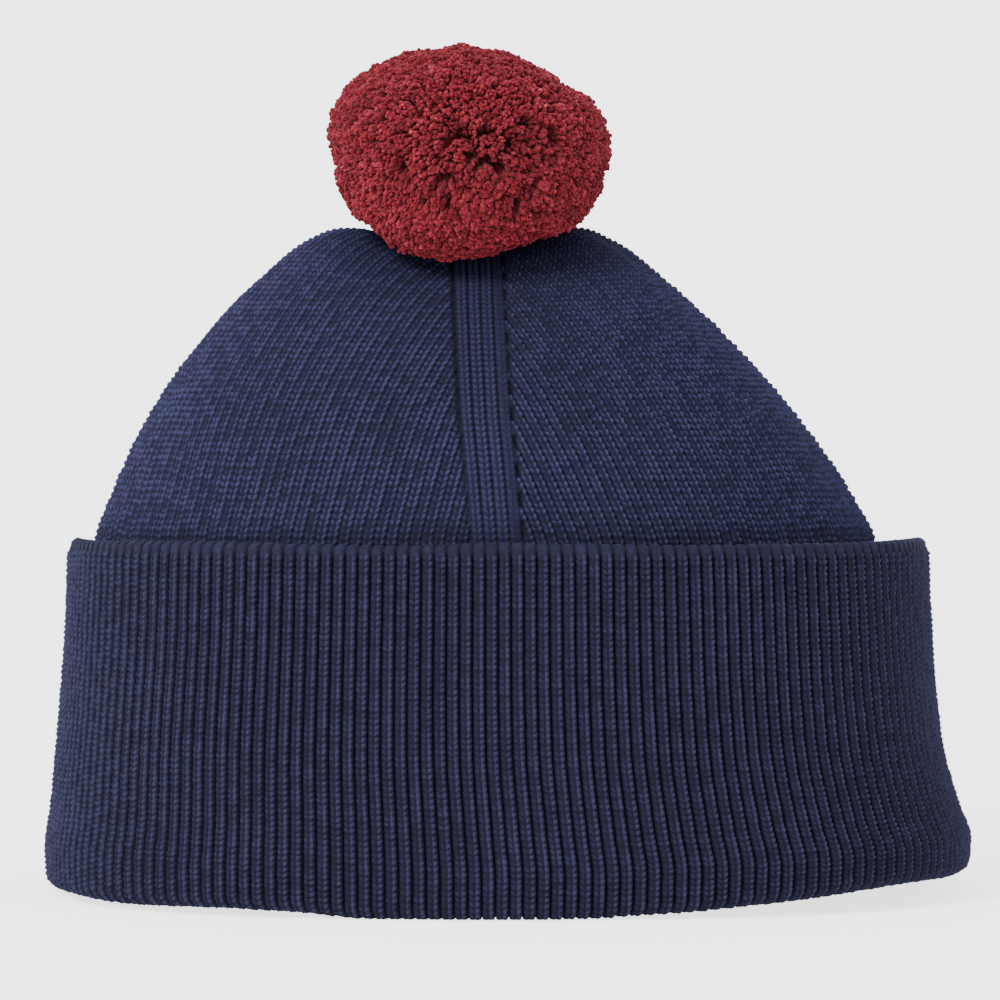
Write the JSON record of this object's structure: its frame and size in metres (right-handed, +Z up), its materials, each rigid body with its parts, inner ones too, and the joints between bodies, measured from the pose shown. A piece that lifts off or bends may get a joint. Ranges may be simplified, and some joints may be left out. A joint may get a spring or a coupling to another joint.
{
  "type": "pom pom beanie",
  "caption": "Knitted winter hat with a deep turned-up rib cuff, a plain-knit crown of linked panels and a cut-yarn pom pom tied on top.",
  "frame": {"origin": "middle of the plane the cuff's fold rests on, at the middle of the hat's box", "axes": "+Z up from the opening to the pom pom, -Y to the front, +X along the hat's broad way, to the right seen from the front"},
  "size_m": [0.229, 0.165, 0.2104],
  "materials": {
    "navy_rib": "soft rib knit, matt with a slight fuzz",
    "navy_crown": "plain knit, matt with a slight fuzz",
    "navy_inside": "purl side of the knit, matt",
    "burgundy_yarn": "cut yarn, velvety",
    "label_white": "plain woven satin tape"
  },
  "bodies": {
    "cuff": {"rib_cuff": "navy_rib", "cuff_back_seam": "navy_inside"},
    "crown": {"inner_band": "navy_inside", "band_back_seam": "navy_inside", "crown_panel_front_left": "navy_crown", "crown_panel_front_right": "navy_crown", "crown_panel_back_left": "navy_crown", "crown_panel_back_right": "navy_crown", "crown_seam_front": "navy_inside", "crown_seam_right": "navy_inside", "crown_seam_back": "navy_inside", "crown_seam_left": "navy_inside", "gather_yarn": "navy_crown", "inside_knot": "burgundy_yarn", "label_stitches": "label_white"},
    "tie_loop": {"attachment_loop": "burgundy_yarn"},
    "pompom": {"binding_tails": "burgundy_yarn", "pompom_pile": "burgundy_yarn", "centre_binding": "burgundy_yarn"},
    "label": {"care_label": "label_white"}
  },
  "joints": [
    {"name": "cuff_unroll", "type": "slide", "parent": "cuff", "child": "crown", "axis": [0, 0, 1], "range_m": [0, 0.03]},
    {"name": "pompom_nod", "type": "hinge", "parent": "crown", "child": "tie_loop", "pos_m": [-0.011, 0, 0.1577], "axis": [1, 0, 0], "range_deg": [-14, 4], "stiffness_Nm_per_rad": 0.06},
    {"name": "pompom_sway", "type": "hinge", "parent": "tie_loop", "child": "pompom", "pos_m": [-0.0107, -0.00174, 0.16151], "axis": [0, 1, 0], "range_deg": [-9, 9], "stiffness_Nm_per_rad": 0.06},
    {"name": "label_swing", "type": "hinge", "parent": "crown", "child": "label", "pos_m": [0.0135, 0.0636, 0.054], "axis": [1, 0, 0], "range_deg": [-80, 0], "stiffness_Nm_per_rad": 0.0002}
  ]
}
